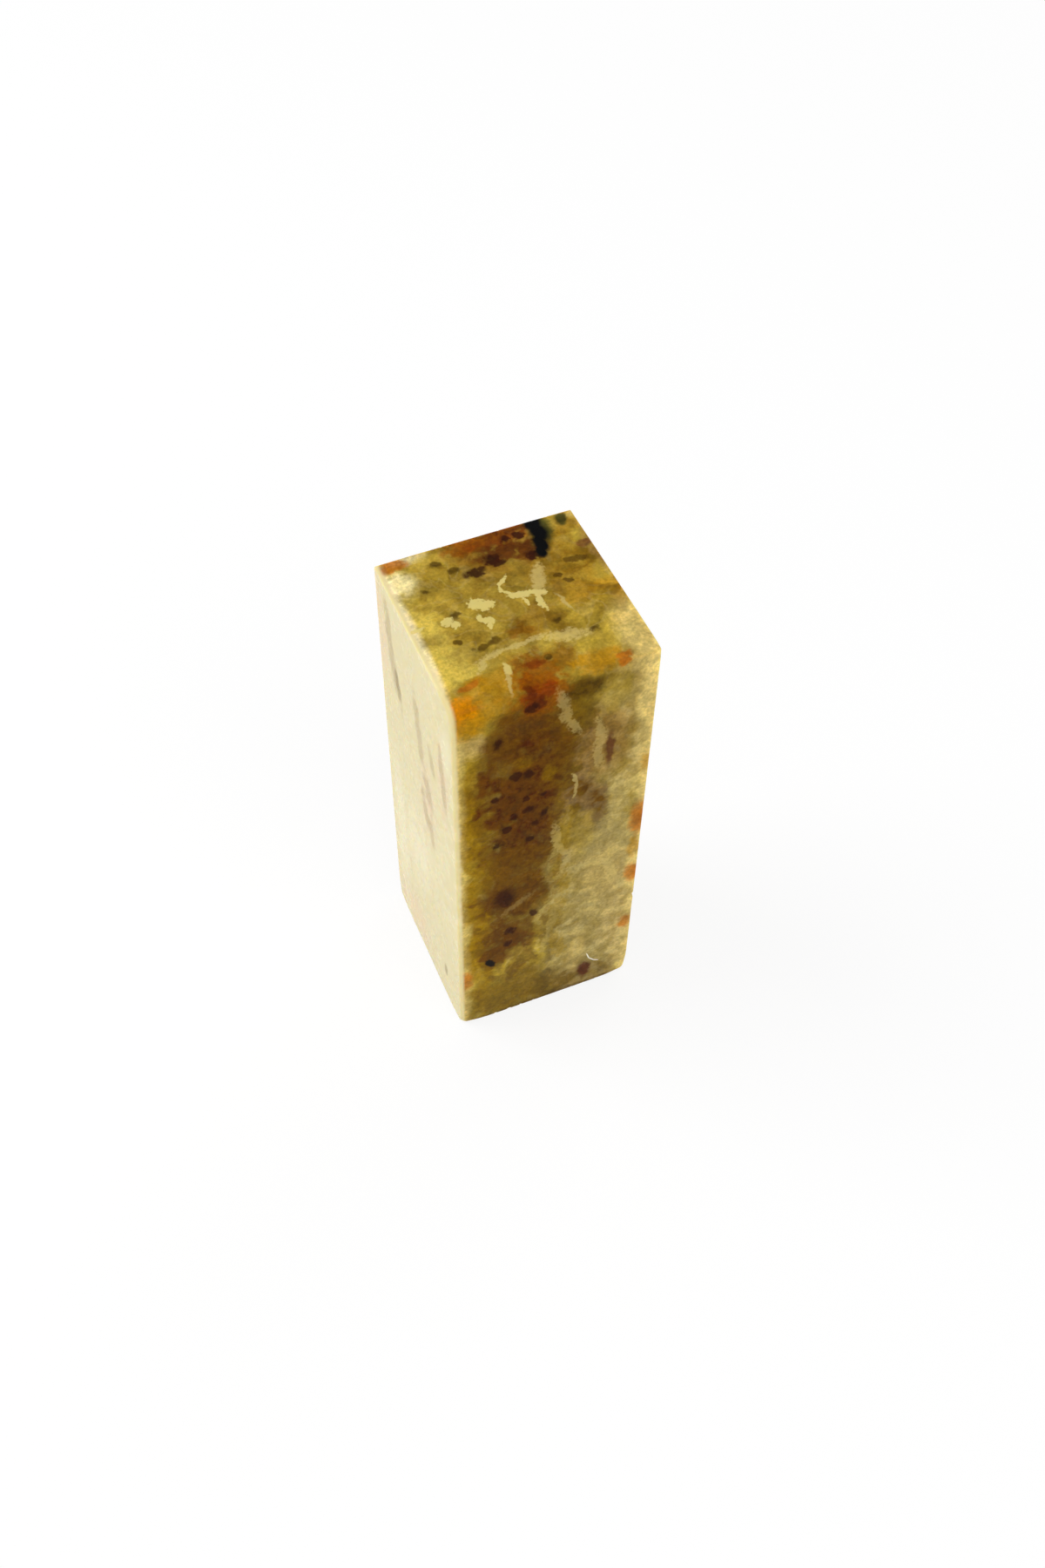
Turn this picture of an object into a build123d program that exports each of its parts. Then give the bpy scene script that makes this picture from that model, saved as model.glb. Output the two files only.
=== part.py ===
from build123d import *
import math
import os

# A hand-cut seal of natural soapstone: one block, 2 x 2 x 5 cm, that stands on its carved sealing face.
# The sealing face lies on Z = 0, the origin is its middle, +Z runs up the stone and -Y faces the user.
# All sizes are in millimetres and all angles in degrees.

# The blank
seal_side = 20.0
stone_height = 50.0
# The top was sawn a little out of square: across one side it rises this much towards +X, and again towards +Y.
top_rise = 0.8
# The corner that the slant leaves lowest is rubbed down by this much along each of its three edges.
low_corner_wear = 1.3

# The four corners of the sealing face are rubbed down by this much along each of their edges, so that none chips.
sealing_corner_wear = 1.0

# Polishing breaks every edge with a few light strokes, so all of them stay quite crisp.
upright_edge_radius = 0.3
top_edge_radius = 0.2
sealing_rim_radius = 0.25

# The carving. Its lines are cut in and leave no ink, and the stone that stands between them prints.
border_width = 0.85
groove_width = 0.75
groove_depth = 0.8
groove_wall_draft = 8.0
cell_gap = 1.05
cells_per_side = 3

# One spiral groove fills a cell. Its corners are counted in half pitches, a pitch being a groove and a land.
pitches_per_cell = 3
spiral_corner_shares = [(0, 0), (6, 0), (6, 6), (0, 6), (0, 2), (4, 2), (4, 4), (2, 4)]

# The four-petal flower in the middle
quarter_turns = 4
petal_first_angle = 45.0
petal_foot_radius = 0.6
petal_width = 1.5
petal_tip_gap = 0.35

# Worked out from the sizes above
half_side = seal_side / 2
top_slope = top_rise / seal_side
low_corner_height = stone_height - top_rise
cell_size = (seal_side - 2 * border_width - (cells_per_side - 1) * cell_gap) / cells_per_side
cell_step = cell_size + cell_gap
outer_cell_place = cell_step * (cells_per_side - 1) / 2
half_pitch = (cell_size - groove_width) / (2 * pitches_per_cell)
middle_size = seal_side - 2 * (border_width + cell_size + cell_gap)
petal_tip_radius = math.hypot(middle_size, middle_size) / 2 - petal_tip_gap
groove_wall_lean = groove_depth * math.tan(math.radians(groove_wall_draft))


def draw_spiral_groove(cell_x, cell_y):
    """Draw the groove of the cell whose middle is at cell_x, cell_y, as one rectangle for each straight cut."""
    first_corner = (groove_width - cell_size) / 2
    corners = [
        (cell_x + first_corner + across * half_pitch, cell_y + first_corner + up * half_pitch)
        for across, up in spiral_corner_shares
    ]
    for (x_from, y_from), (x_to, y_to) in zip(corners, corners[1:]):
        with Locations(((x_from + x_to) / 2, (y_from + y_to) / 2)):
            Rectangle(abs(x_to - x_from) + groove_width, abs(y_to - y_from) + groove_width)


def petal_outline(height, inset):
    """Return one pointed petal along +X at a height, with all its outline moved in by inset."""
    foot = (petal_foot_radius + inset, 0)
    tip = (petal_tip_radius - inset, 0)
    bulge = petal_width / 2 - inset
    with BuildSketch(Plane.XY.offset(height)) as petal:
        with BuildLine():
            SagittaArc(foot, tip, bulge)
            SagittaArc(tip, foot, bulge)
        make_face()
    return petal.sketch


# A quarter of the band of spirals: a corner cell, then the cells along the side up to the next corner
with BuildSketch() as spiral_quarter:
    for place in range(cells_per_side - 1):
        draw_spiral_groove(outer_cell_place - place * cell_step, outer_cell_place)

# What the knife takes out for one petal: wide at the sealing face, narrower at the floor of the cut
with BuildPart() as petal_cut:
    loft([petal_outline(0, 0), petal_outline(groove_depth, groove_wall_lean)], ruled=True)

# The stone block with its carved sealing face
with BuildPart() as seal_stone:
    with BuildSketch(Plane.XY):
        Rectangle(seal_side, seal_side)
    extrude(amount=stone_height + 2 * top_rise)

    # The slanted top
    split(bisect_by=Plane(origin=(0, 0, stone_height), z_dir=(-top_slope, -top_slope, 1)), keep=Keep.BOTTOM)

    # The worn low corner: a small flat, which the rounding of its edges then softens
    worn_third = low_corner_wear / 3
    worn_middle = (worn_third - half_side, worn_third - half_side, low_corner_height - worn_third)
    split(bisect_by=Plane(origin=worn_middle, z_dir=(-1, -1, 1)), keep=Keep.BOTTOM)

    # The worn corners of the sealing face, in the same way
    sealing_third = sealing_corner_wear / 3
    sealing_place = half_side - sealing_third
    for x_way in (-1, 1):
        for y_way in (-1, 1):
            worn_place = (x_way * sealing_place, y_way * sealing_place, sealing_third)
            split(bisect_by=Plane(origin=worn_place, z_dir=(x_way, y_way, -1)), keep=Keep.BOTTOM)

    # The rounded edges
    fillet(seal_stone.edges().filter_by(Axis.Z), radius=upright_edge_radius)
    fillet(seal_stone.faces().sort_by(Axis.Z)[-1].edges(), radius=top_edge_radius)
    fillet(seal_stone.faces().sort_by(Axis.Z)[0].edges(), radius=sealing_rim_radius)

    # The band of squared spirals, the same quarter turned round the middle
    with BuildSketch(Plane.XY):
        with PolarLocations(radius=0, count=quarter_turns):
            add(spiral_quarter.sketch)
    extrude(amount=groove_depth, taper=groove_wall_draft, mode=Mode.SUBTRACT)

    # The flower
    with PolarLocations(radius=0, count=quarter_turns, start_angle=petal_first_angle):
        add(petal_cut.part, mode=Mode.SUBTRACT)

seal_stone.part.label = "seal_stone"

os.makedirs("parts", exist_ok=True)
export_step(seal_stone.part, "parts/seal_stone.step")

land_width = 2 * half_pitch - groove_width
print(f"cell {cell_size:.2f} mm, groove {groove_width:.2f} mm, land {land_width:.2f} mm, depth {groove_depth:.2f} mm")
print(f"volume {seal_stone.part.volume / 1000:.2f} cm3")
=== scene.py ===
# %% [markdown]
# # A hand-cut seal of soapstone
# The real object is one block of natural soapstone, 2 x 2 x 5 cm, cut by saw, rubbed smooth by hand and
# waxed. Its top and its four sides are plain. The face that it stands on is carved with a knife, and prints.
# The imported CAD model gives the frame: its box, its origin and its one body. The scene never moves it. It
# builds a finer stone inside that box, with the small unevenness of hand work, and lets it stand for the CAD
# node.

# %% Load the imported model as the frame
import math

import bmesh
import bpy
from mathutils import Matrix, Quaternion, Vector, noise


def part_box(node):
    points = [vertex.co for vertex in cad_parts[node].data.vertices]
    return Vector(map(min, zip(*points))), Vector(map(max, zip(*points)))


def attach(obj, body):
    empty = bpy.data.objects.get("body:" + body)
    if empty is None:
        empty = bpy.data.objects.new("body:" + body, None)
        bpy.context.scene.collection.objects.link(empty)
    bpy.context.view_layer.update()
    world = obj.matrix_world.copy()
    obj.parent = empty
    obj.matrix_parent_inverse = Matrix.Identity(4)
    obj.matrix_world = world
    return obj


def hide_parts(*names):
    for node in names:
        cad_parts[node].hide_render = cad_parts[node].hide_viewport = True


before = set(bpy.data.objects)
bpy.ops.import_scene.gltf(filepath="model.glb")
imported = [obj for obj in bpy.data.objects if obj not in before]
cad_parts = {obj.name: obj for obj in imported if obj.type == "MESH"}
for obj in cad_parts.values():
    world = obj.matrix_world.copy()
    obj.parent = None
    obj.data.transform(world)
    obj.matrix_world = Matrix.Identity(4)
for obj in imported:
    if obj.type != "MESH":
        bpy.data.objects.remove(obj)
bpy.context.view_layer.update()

MM = 0.001

# %% [markdown]
# ## The blank
# A sawn block is never quite true. Each face is rubbed on a wet stone, so it stays flat to some hundredths of
# a millimetre and falls away a little towards its rim, and each edge is broken by a few strokes, so its
# rounding changes along the way. A bevelled cube would have six perfect planes. Here the block is a lattice
# of points, close together near the edges, and each point is moved to where the rubbing leaves it. That way
# is easy to read: one function says how the hand works, and the mesh follows.

# %% Sizes of the blank in millimetres
half_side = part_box("seal_stone")[1].x / MM
top_slope = 0.04
stone_height = 50.0
edge_radius_upright = 0.3
edge_radius_top = 0.2
edge_radius_bottom = 0.25
print(f"side {2 * half_side:.2f} mm, the top slopes by {top_slope:.0%} each way")

# The upright edges take on the rounding of the top and of the foot over this height
end_zone = 3.0

# A rounding changes by about this share along its edge, in long waves and, half as much, in short ones
radius_change = 0.13
long_wave = 3.1
short_wave = 0.9

# How far the rim of a face falls back from its middle, and how evenly the hand rubs
crown = 0.035
crown_power = 4
unevenness = 0.02
dip_wave = 7

# Corners that are rubbed down further: where each is, its rounding, and how far its wear reaches
worn_corners = [((-1, -1, stone_height), 1.03, 2.4), ((1, -1, stone_height), 0.38, 1.0)]
worn_corners += [((x_way, y_way, 0), 0.79, 1.85) for x_way in (-1, 1) for y_way in (-1, 1)]


# %% How hand rubbing moves a point of the sharp block
def slow_noise(point, size):
    """A smooth change between -1 and 1, whose waves are about as long as size."""
    return noise.noise(Vector(point) / size)


def edge_radius_at(point):
    """The rounding of the edges near a point: crisp along the edges, worn at some of the corners."""
    near_top = max(0.0, 1 - (stone_height - point.z) / end_zone)
    near_bottom = max(0.0, 1 - point.z / end_zone)
    radius = edge_radius_upright
    radius += (edge_radius_top - edge_radius_upright) * near_top
    radius += (edge_radius_bottom - edge_radius_upright) * near_bottom
    long_change, short_change = slow_noise(point, long_wave), slow_noise(point, short_wave)
    radius *= 1 + radius_change * long_change + radius_change * short_change / 2
    for (x_way, y_way, height), worn_radius, reach in worn_corners:
        corner = Vector((x_way * half_side, y_way * half_side, height))
        wear = math.exp(-(((point - corner).length / reach) ** 2))
        radius += (worn_radius - edge_radius_top) * wear
    return radius


def rub_down(point):
    """Where a point of the sharp upright block ends up: round the edge, crown the face, slant the top."""
    radius = edge_radius_at(point)
    reach = half_side - radius
    inner = Vector((
        min(max(point.x, -reach), reach),
        min(max(point.y, -reach), reach),
        min(max(point.z, radius), stone_height - radius),
    ))
    outward = (point - inner).normalized()
    from_middle = Vector((point.x / half_side, point.y / half_side, 2 * point.z / stone_height - 1))
    flat_part = Vector([1 - abs(part) for part in outward])
    fall = sum(flat_part[axis] * from_middle[axis] ** crown_power for axis in range(3)) / 2
    dip = 0.5 + 0.5 * slow_noise(point, dip_wave)
    rubbed = inner + outward * (radius - crown * fall - unevenness * dip)
    rubbed.z *= 1 + top_slope * (rubbed.x + rubbed.y) / stone_height
    rubbed.z = max(rubbed.z, 0.0)
    return rubbed


# %% Build the blank as a lattice of quads
edge_steps = [0.0, 0.05, 0.1, 0.16, 0.24, 0.34, 0.48, 0.7, 1.05, 1.6]
middle_step_across = 0.8
middle_step_up = 1.0


def marks_along(length, middle_step):
    """Distances along one side of the block: close together at both ends, wider in the middle."""
    inner = length - 2 * edge_steps[-1]
    count = round(inner / middle_step)
    middle = [edge_steps[-1] + inner * step / count for step in range(1, count)]
    return edge_steps + middle + [length - step for step in reversed(edge_steps)]


def mesh_from(name, build):
    """Runs build on an empty bmesh and returns the result as a new object in the scene, in metres."""
    shape = bmesh.new()
    build(shape)
    bmesh.ops.recalc_face_normals(shape, faces=shape.faces)
    bmesh.ops.scale(shape, vec=(MM, MM, MM), verts=shape.verts)
    mesh = bpy.data.meshes.new(name)
    shape.to_mesh(mesh)
    shape.free()
    made = bpy.data.objects.new(name, mesh)
    bpy.context.scene.collection.objects.link(made)
    return made


def build_blank(shape):
    """The six sides of the lattice, with every point rubbed down."""
    across = [mark - half_side for mark in marks_along(2 * half_side, middle_step_across)]
    upwards = marks_along(stone_height, middle_step_up)
    marks = (across, across, upwards)
    last = [len(row) - 1 for row in marks]
    corners = {}

    def corner(spot):
        if spot not in corners:
            sharp = Vector([marks[axis][spot[axis]] for axis in range(3)])
            corners[spot] = shape.verts.new(rub_down(sharp))
        return corners[spot]

    for fixed in range(3):
        first, second = [axis for axis in range(3) if axis != fixed]
        for level in (0, last[fixed]):
            for i in range(last[first]):
                for j in range(last[second]):
                    ring = []
                    for a, b in ((i, j), (i + 1, j), (i + 1, j + 1), (i, j + 1)):
                        spot = [0, 0, 0]
                        spot[fixed], spot[first], spot[second] = level, a, b
                        ring.append(corner(tuple(spot)))
                    shape.faces.new(ring)


stone = mesh_from("seal_stone_polished", build_blank)
print("blank:", len(stone.data.vertices), "points,", len(stone.data.polygons), "quads")

# %% [markdown]
# ## The knife cuts
# The carver clears each groove with a flat knife: steep walls, a floor that is deepest along its middle, and
# ragged rims where the soft stone crumbles. One spiral groove is swept along its path in mesh code, with
# true mitres in its corners, which the Curve to Mesh node can't do. A petal is the same sweep with a changing
# width.

# %% Sizes of the carving in millimetres
border_width = 0.85
groove_width = 0.75
groove_depth = 0.8
shoulder_depth = 0.62
wall_lean = 0.11
cell_gap = 1.05
cells_per_side = 3
pitches_per_cell = 3
cell_size = (2 * half_side - 2 * border_width - (cells_per_side - 1) * cell_gap) / cells_per_side
cell_step = cell_size + cell_gap
half_pitch = (cell_size - groove_width) / (2 * pitches_per_cell)
print(f"cell {cell_size:.2f} mm, groove {groove_width:.2f} mm, land {2 * half_pitch - groove_width:.2f} mm")

# Where a cut gets very narrow, its floor keeps this share of its width
narrowest_floor = 0.3

# The cutters start a little below the face, and have a station about this often along a groove
below_face = -0.4
knife_step = 0.17

# Corners of a squared spiral, counted in half pitches from the first corner of its cell
spiral_corners = [(0, 0), (6, 0), (6, 6), (0, 6), (0, 2), (4, 2), (4, 4), (2, 4)]

# A petal lies between these distances from the middle of the face
petal_foot = 0.6
petal_tip = 3.468
petal_width = 1.5
petal_steps = 18
petal_end_half_width = 0.03


# %% Sweep one cut along its stations
def sweep_cut(shape, stations):
    """Adds one closed cutter. A station is its middle, the way to its side, and its half width."""
    rings = []
    for middle, side, half in stations:
        foot = max(half - wall_lean, narrowest_floor * half)
        profile = [(-half, below_face), (half, below_face), (half, 0), (foot, shoulder_depth)]
        profile += [(0, groove_depth), (-foot, shoulder_depth), (-half, 0)]
        ring = []
        for out, height in profile:
            place = middle + side * out
            ring.append(shape.verts.new((place.x, place.y, height)))
        rings.append(ring)
    for ring, following in zip(rings, rings[1:]):
        for a in range(len(ring)):
            b = (a + 1) % len(ring)
            shape.faces.new((ring[a], ring[b], following[b], following[a]))
    shape.faces.new(rings[0])
    shape.faces.new(rings[-1])


def spiral_stations(cell_x, cell_y):
    """Stations of the squared spiral in the cell whose middle is at cell_x, cell_y."""
    first = (groove_width - cell_size) / 2
    path = [
        Vector((cell_x + first + a * half_pitch, cell_y + first + b * half_pitch))
        for a, b in spiral_corners
    ]
    ways = [(end - start).normalized() for start, end in zip(path, path[1:])]
    path[0] -= ways[0] * groove_width / 2
    path[-1] += ways[-1] * groove_width / 2
    sides = [Vector((-way.y, way.x)) for way in ways]
    mitres = [sides[0]] + [a + b for a, b in zip(sides, sides[1:])] + [sides[-1]]
    stations = [(path[0], mitres[0], groove_width / 2)]
    for index in range(len(ways)):
        count = max(1, round((path[index + 1] - path[index]).length / knife_step))
        for step in range(1, count + 1):
            share = step / count
            middle = path[index].lerp(path[index + 1], share)
            stations.append((middle, mitres[index].lerp(mitres[index + 1], share), groove_width / 2))
    return stations


def petal_stations(turn):
    """Stations of one pointed petal that lies along the way turn, between two arcs."""
    way = Vector((math.cos(turn), math.sin(turn)))
    side = Vector((-way.y, way.x))
    half_length = (petal_tip - petal_foot) / 2
    arc_radius = (half_length**2 + (petal_width / 2) ** 2) / petal_width
    stations = []
    for step in range(petal_steps + 1):
        along = -half_length + 2 * half_length * step / petal_steps
        half = math.sqrt(arc_radius**2 - along**2) - arc_radius + petal_width / 2
        middle = way * (petal_foot + half_length + along)
        stations.append((middle, side, max(half, petal_end_half_width)))
    return stations


def build_quarter(shape):
    """A corner cell, the cell beside it, and the petal that points to that corner."""
    sweep_cut(shape, spiral_stations(cell_step, cell_step))
    sweep_cut(shape, spiral_stations(0, cell_step))
    sweep_cut(shape, petal_stations(math.radians(45)))


knife_cuts = mesh_from("knife_cuts", build_quarter)
print("one quarter of the cuts:", len(knife_cuts.data.polygons), "faces")

# %% [markdown]
# ## Geometry Nodes repeat the quarter and crumble its rims
# The pattern is the same quarter turned four times round the middle. A node tree makes the turns, so a change
# to the quarter changes them all, and then a fixed noise moves every point a little, so no two cuts are
# quite alike, as in hand work.

# %% One function adds a node, and one sets a modifier's inputs by their identifiers
def add_node(tree, kind, inputs=None, **settings):
    """Adds a node to the tree, sets its properties, then sets or links its inputs."""
    node = tree.nodes.new(kind)
    for name, value in settings.items():
        setattr(node, name, value)
    for key, value in (inputs or {}).items():
        if isinstance(value, bpy.types.NodeSocket):
            tree.links.new(value, node.inputs[key])
        else:
            node.inputs[key].default_value = value
    return node


def start_tree(name, sockets):
    """A new geometry tree, from Geometry to Geometry, with the named inputs besides."""
    tree = bpy.data.node_groups.new(name, "GeometryNodeTree")
    tree.interface.new_socket("Geometry", in_out="INPUT", socket_type="NodeSocketGeometry")
    for label, kind in sockets.items():
        tree.interface.new_socket(label, in_out="INPUT", socket_type="NodeSocket" + kind)
    tree.interface.new_socket("Geometry", in_out="OUTPUT", socket_type="NodeSocketGeometry")
    return tree, tree.nodes.new("NodeGroupInput").outputs


def take_result(made):
    """Replaces the object's mesh by what its modifiers make of it, and removes them."""
    seen = made.evaluated_get(bpy.context.evaluated_depsgraph_get())
    finished = bpy.data.meshes.new_from_object(seen)
    made.modifiers.clear()
    made.data = finished


def run_tree(made, tree, values):
    """Gives the object the tree as a modifier, sets its inputs, and turns the result into a plain mesh."""
    modifier = made.modifiers.new(tree.name, "NODES")
    modifier.node_group = tree
    for item in tree.interface.items_tree:
        if item.in_out == "INPUT" and item.name in values:
            modifier[item.identifier] = values[item.name]
    take_result(made)


# %% The tree that turns the quarter
stone_material = bpy.data.materials.new("waxed_soapstone")

turning, given = start_tree("turn_and_crumble", {
    "Turns": "Int", "Crumbling": "Float", "Crumb Size": "Float", "Seed": "Float", "Material": "Material"})
middles = add_node(turning, "GeometryNodeMeshLine", {"Count": given["Turns"], "Offset": (0, 0, 0)})
order = add_node(turning, "GeometryNodeInputIndex")
whole_turn = add_node(turning, "ShaderNodeMath", {0: math.tau, 1: given["Turns"]}, operation="DIVIDE")
angle = add_node(turning, "ShaderNodeMath", {
    0: order.outputs[0], 1: whole_turn.outputs[0]}, operation="MULTIPLY")
turn = add_node(turning, "ShaderNodeCombineXYZ", {"Z": angle.outputs[0]})
copies = add_node(turning, "GeometryNodeInstanceOnPoints", {
    "Points": middles.outputs["Mesh"], "Instance": given["Geometry"], "Rotation": turn.outputs[0]})
solid = add_node(turning, "GeometryNodeRealizeInstances", {"Geometry": copies.outputs[0]})
finer = add_node(turning, "ShaderNodeMath", {0: 1.0, 1: given["Crumb Size"]}, operation="DIVIDE")
crumbs = add_node(turning, "ShaderNodeTexNoise", {
    "W": given["Seed"], "Scale": finer.outputs[0], "Detail": 3.0}, noise_dimensions="4D")
centred = add_node(turning, "ShaderNodeVectorMath", {
    0: crumbs.outputs["Color"], 1: (0.5, 0.5, 0.5)}, operation="SUBTRACT")
shift = add_node(turning, "ShaderNodeVectorMath", {
    0: centred.outputs[0], "Scale": given["Crumbling"]}, operation="SCALE")
ragged = add_node(turning, "GeometryNodeSetPosition", {
    "Geometry": solid.outputs[0], "Offset": shift.outputs[0]})
named = add_node(turning, "GeometryNodeSetMaterial", {
    "Geometry": ragged.outputs[0], "Material": given["Material"]})
add_node(turning, "NodeGroupOutput", {"Geometry": named.outputs[0]})

run_tree(knife_cuts, turning, {
    "Turns": 4, "Crumbling": 0.26 * MM, "Crumb Size": 0.33 * MM, "Seed": 5.0, "Material": stone_material})
print("all cuts:", len(knife_cuts.data.polygons), "faces")

# %% [markdown]
# ## Nicks along the edges
# A seal is set down and picked up for years, and soapstone is as soft as a fingernail. Its edges carry small
# bites: many along the printing rim, few along the upright edges. The edges are drawn as lines, and a second
# tree sets small faceted lumps on them at random, which then bite into the stone.

# %% The tree that scatters the bites. Each slides by up to this share of the spacing, and is stretched
slide_share = 0.22
least_stretch, most_stretch = 0.75, 1.3

biting, given = start_tree("bites_along_a_line", {
    "Spacing": "Float", "Smallest": "Float", "Largest": "Float", "Seed": "Int", "Material": "Material"})
line = add_node(biting, "GeometryNodeMeshToCurve", {"Mesh": given["Geometry"]})
spots = add_node(biting, "GeometryNodeCurveToPoints", {
    "Curve": line.outputs[0], "Length": given["Spacing"]}, mode="LENGTH")
back = add_node(biting, "ShaderNodeMath", {0: given["Spacing"], 1: -slide_share}, operation="MULTIPLY")
forth = add_node(biting, "ShaderNodeMath", {0: given["Spacing"], 1: slide_share}, operation="MULTIPLY")
slide = add_node(biting, "FunctionNodeRandomValue", {
    2: back.outputs[0], 3: forth.outputs[0], "Seed": given["Seed"]}, data_type="FLOAT")
along = add_node(biting, "ShaderNodeVectorMath", {
    0: spots.outputs["Tangent"], "Scale": slide.outputs[1]}, operation="SCALE")
strewn = add_node(biting, "GeometryNodeSetPosition", {
    "Geometry": spots.outputs["Points"], "Offset": along.outputs[0]})
lump = add_node(biting, "GeometryNodeMeshIcoSphere", {"Radius": 1.0, "Subdivisions": 2})
size = add_node(biting, "FunctionNodeRandomValue", {
    2: given["Smallest"], 3: given["Largest"], "Seed": given["Seed"]}, data_type="FLOAT")
stretch = add_node(biting, "FunctionNodeRandomValue", {
    0: (least_stretch,) * 3, 1: (most_stretch,) * 3, "Seed": given["Seed"]}, data_type="FLOAT_VECTOR")
sized = add_node(biting, "ShaderNodeVectorMath", {
    0: stretch.outputs[0], "Scale": size.outputs[1]}, operation="SCALE")
spin = add_node(biting, "FunctionNodeRandomValue", {
    0: (0, 0, 0), 1: (math.tau,) * 3, "Seed": given["Seed"]}, data_type="FLOAT_VECTOR")
lumps = add_node(biting, "GeometryNodeInstanceOnPoints", {
    "Points": strewn.outputs[0], "Instance": lump.outputs["Mesh"],
    "Rotation": spin.outputs[0], "Scale": sized.outputs[0]})
solid = add_node(biting, "GeometryNodeRealizeInstances", {"Geometry": lumps.outputs[0]})
named = add_node(biting, "GeometryNodeSetMaterial", {
    "Geometry": solid.outputs[0], "Material": given["Material"]})
add_node(biting, "NodeGroupOutput", {"Geometry": named.outputs[0]})


# %% Draw the edges and scatter the bites
ways_round = [(-1, -1), (1, -1), (1, 1), (-1, 1)]
faces_per_lump = 80


def corner_of_block(way, height):
    """A corner of the sharp block, by the way it lies, at a height before the slant."""
    x, y = way[0] * half_side, way[1] * half_side
    return Vector((x, y, height * (1 + top_slope * (x + y) / stone_height)))


def edges_round(height):
    """The four edges of the rim at that height."""
    corners = [corner_of_block(way, height) for way in ways_round]
    return list(zip(corners, corners[1:] + corners[:1]))


def draw_lines(pairs, gap_at_ends):
    """A builder of straight lines, each short of its corners by the gap, so that bites never overlap."""
    def build(shape):
        for start, end in pairs:
            gap = (end - start).normalized() * gap_at_ends
            shape.edges.new((shape.verts.new(start + gap), shape.verts.new(end - gap)))
    return build


# Each row: its name, its edges, the spacing, the smallest and the largest radius of a bite, and its seed
uprights = [(corner_of_block(way, 0), corner_of_block(way, stone_height)) for way in ways_round]
bites = []
for title, pairs, spacing, smallest, largest, seed in [
    ("rim_bites", edges_round(0), 1.5, 0.09, 0.3, 11),
    ("upright_bites", uprights, 3.3, 0.12, 0.24, 23),
    ("top_bites", edges_round(stone_height), 4.1, 0.07, 0.18, 31),
]:
    bite = mesh_from(title, draw_lines(pairs, spacing / 2))
    run_tree(bite, biting, {
        "Spacing": spacing * MM, "Smallest": smallest * MM, "Largest": largest * MM, "Seed": seed,
        "Material": stone_material})
    bites.append(bite)
    print(title, len(bite.data.polygons) // faces_per_lump)


# %% The one larger chip, on the right edge of the front
chip_place = Vector((half_side + 0.03, -half_side + 0.05, 14.0))
chip_half_sizes = Vector((0.42, 0.5, 0.55))
chip_roughness = 0.22
chip_wave = 0.7


def build_large_chip(shape):
    """A ball, dented by a noise and drawn out to the size of the chip."""
    chip = bmesh.ops.create_icosphere(shape, subdivisions=3, radius=1.0)
    for vert in chip["verts"]:
        dent = 1 + chip_roughness * slow_noise(vert.co, chip_wave)
        vert.co = chip_place + vert.co * chip_half_sizes * dent


bites.append(mesh_from("edge_chip", build_large_chip))

# %% [markdown]
# ## Cut the stone
# The exact Boolean takes the cuts and the bites out of the blank in one go. The blank is closed and the
# cutters are closed, so the result is one closed shell. Its faces are shaded smooth, and edges sharper than
# the angle below stay crisp: the rims of the grooves, but not the rounded edges of the block.

# %% One Boolean, then the cutters go
crisp_angle = 34


def cut_away(made, cutters):
    """Takes the cutters out of the object, then removes them."""
    for cutter in cutters:
        modifier = made.modifiers.new("cut", "BOOLEAN")
        modifier.operation = "DIFFERENCE"
        modifier.solver = "EXACT"
        modifier.object = cutter
    take_result(made)
    for cutter in cutters:
        bpy.data.objects.remove(cutter)


cut_away(stone, [knife_cuts, *bites])
stone.data.materials.clear()
stone.data.materials.append(stone_material)
for polygon in stone.data.polygons:
    polygon.material_index = 0
    polygon.use_smooth = True
stone.data.set_sharp_from_angle(angle=math.radians(crisp_angle))

shell = bmesh.new()
shell.from_mesh(stone.data)
open_edges = sum(1 for edge in shell.edges if not edge.is_manifold)
triangles = sum(len(face.verts) - 2 for face in shell.faces)
print(f"stone: {triangles} triangles, {open_edges} open edges, {shell.calc_volume() / MM**3 / 1000:.3f} cm3")
shell.free()

# %% [markdown]
# ## The waxed soapstone
# Soapstone for seals is a close mixture of soft clay minerals with wax rubbed in. It has no crystals to
# glitter: what the eye gets is a soft shine, colour that lies a little below the surface, and edges that
# glow, because light goes in and comes out again a millimetre or two away. So the skin is one Principled
# shader with subsurface light, and everything else is colour. The colour is made as the stone was: a clouded
# ground, broad beds of other tones in it, then patches, spots and veins of single minerals, each grown from a
# few blobs whose outlines a noise breaks up. The blobs lie in the stone and not on a face, so a patch goes
# round an edge.
# A few tones are painted light: a pale glow on the uprights and some edges, a painted brightness and
# reflection on the left side, and a shade along the foot of the front.

# %% Colours are written as sRGB hex and turned to linear in one place
def linear(code):
    """The linear colour, with alpha 1, of an sRGB code such as #b59736."""
    parts = [int(code[place:place + 2], 16) / 255 for place in (1, 3, 5)]
    return (*[part / 12.92 if part <= 0.04045 else ((part + 0.055) / 1.055) ** 2.4 for part in parts], 1.0)
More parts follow.
